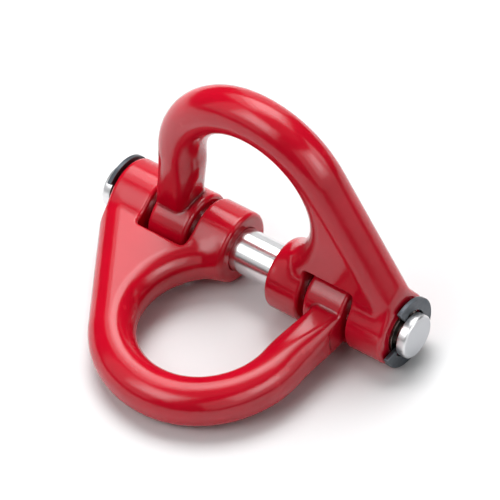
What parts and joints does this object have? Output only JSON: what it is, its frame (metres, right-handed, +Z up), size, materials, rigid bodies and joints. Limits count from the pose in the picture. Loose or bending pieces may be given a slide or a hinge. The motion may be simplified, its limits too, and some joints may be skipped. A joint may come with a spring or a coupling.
{
  "type": "hinged double ring link",
  "caption": "Paired forged eye links, interlocked knuckle to fork on a cross pin and held by spring retaining clips, that join a hook, chain or sling to another fitting.",
  "frame": {"origin": "middle of the hinge pin, on its axis", "axes": "+X along the hinge pin, -Y out to the lower eye, +Z up to the upper eye; the lower link lies on a level surface"},
  "size_m": [0.0806, 0.0551, 0.0552],
  "materials": {
    "red_powder_coat": "glossy powder coat on forged steel",
    "polished_steel": "ground and polished, bright",
    "spring_steel": "phosphated spring steel, dark grey, satin"
  },
  "bodies": {
    "lower_link": {"lower_link": "red_powder_coat"},
    "upper_link": {"upper_link": "red_powder_coat"},
    "hinge_pin": {"hinge_pin": "polished_steel", "left_retaining_clip": "spring_steel", "right_retaining_clip": "spring_steel"}
  },
  "joints": [
    {"name": "upper_fold", "type": "hinge", "parent": "lower_link", "child": "upper_link", "pos_m": [0, 0, 0], "axis": [1, 0, 0], "range_deg": [-205, 35]},
    {"name": "pin_spin", "type": "hinge", "parent": "lower_link", "child": "hinge_pin", "pos_m": [0, 0, 0], "axis": [1, 0, 0], "continuous": true}
  ]
}
